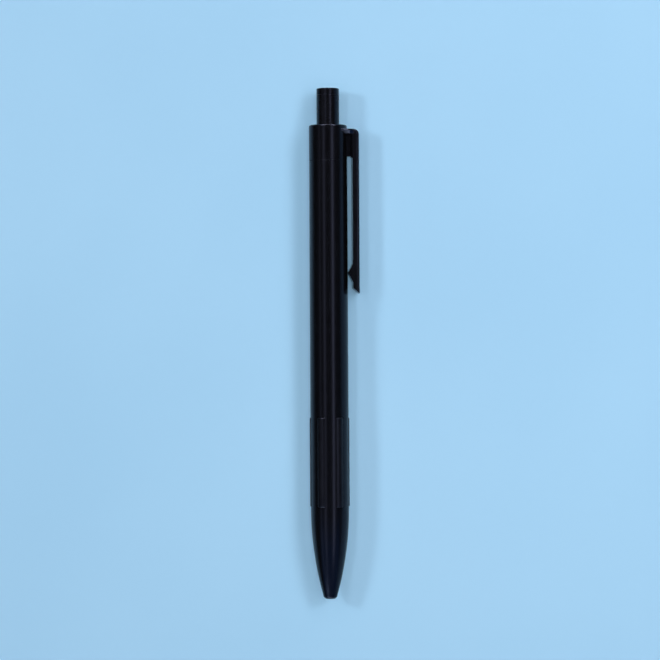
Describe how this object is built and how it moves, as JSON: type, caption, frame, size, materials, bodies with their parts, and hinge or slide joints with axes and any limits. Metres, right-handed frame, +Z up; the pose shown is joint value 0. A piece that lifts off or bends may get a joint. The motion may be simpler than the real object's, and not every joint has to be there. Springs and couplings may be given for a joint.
{
  "type": "retractable ballpoint pen",
  "caption": "Slim black retractable ballpoint pen with a click button, a side pocket clip on the collar, soft inset grip strips and a tapered nose over a sprung refill.",
  "frame": {"origin": "on the desk under the centre of the lying pen's box", "axes": "+Y along the pen towards the push button, +Z up from the desk, +X on the pocket clip's side; the pen is rolled so that the clip's lower edge is down at the desk"},
  "size_m": [0.0144, 0.1432, 0.011],
  "materials": {
    "black_shell": "satin black moulded plastic",
    "black_cap": "satin black moulded plastic",
    "black_clip": "satin black moulded plastic",
    "grip_rubber": "matte black soft grip",
    "white_mechanism": "natural acetal",
    "grey_mechanism": "grey acetal",
    "spring_steel": "drawn steel wire",
    "refill_plastic": "clear polypropylene tube",
    "socket_brass": "turned brass",
    "point_metal": "turned nickel-silver",
    "ball_metal": "ground carbide ball",
    "ink": "dark blue ink paste",
    "follower_grease": "clear yellow grease",
    "plug_plastic": "white polypropylene"
  },
  "bodies": {
    "pen_body": {"barrel": "black_shell", "grip_pad_1": "grip_rubber", "grip_pad_2": "grip_rubber", "grip_pad_3": "grip_rubber", "grip_pad_4": "grip_rubber", "grip_pad_5": "grip_rubber", "grip_pad_6": "grip_rubber", "clip_collar": "black_shell", "cam_sleeve": "white_mechanism", "return_spring": "spring_steel"},
    "clip": {"pocket_clip": "black_clip"},
    "button": {"push_button": "black_shell", "button_cap": "black_cap", "cam_plunger": "grey_mechanism"},
    "refill": {"refill_tube": "refill_plastic", "refill_tip_socket": "socket_brass", "writing_point": "point_metal", "ink_column": "ink", "ink_follower": "follower_grease", "refill_tail_plug": "plug_plastic"},
    "rotor": {"index_rotor": "white_mechanism"},
    "ball": {"writing_ball": "ball_metal"}
  },
  "joints": [
    {"name": "button_press", "type": "slide", "parent": "pen_body", "child": "button", "axis": [0, -1, 0], "range_m": [0, 0.0062], "stiffness_N_per_m": 350, "springref_m": -0.004, "deforming": ["return_spring"]},
    {"name": "refill_feed", "type": "slide", "parent": "pen_body", "child": "refill", "axis": [0, -1, 0], "range_m": [0, 0.0062]},
    {"name": "rotor_turn", "type": "hinge", "parent": "refill", "child": "rotor", "pos_m": [-0.00183, 0.041, 0.00547], "axis": [0, 1, 0], "range_deg": [0, 30]},
    {"name": "clip_flex", "type": "hinge", "parent": "pen_body", "child": "clip", "pos_m": [0.00296, 0.0598, 0.00404], "axis": [0.2874, 0, 0.9578], "range_deg": [0, 5], "stiffness_Nm_per_rad": 2.4, "springref_deg": -1.72},
    {"name": "ball_roll", "type": "hinge", "parent": "refill", "child": "ball", "pos_m": [-0.00183, -0.0692, 0.00547], "axis": [1, 0, 0], "continuous": true}
  ],
  "couplings": [
    {"joint": "refill_feed", "follows": "button_press", "ratio": 1},
    {"joint": "rotor_turn", "follows": "button_press", "rad_per_m": 84.4}
  ]
}
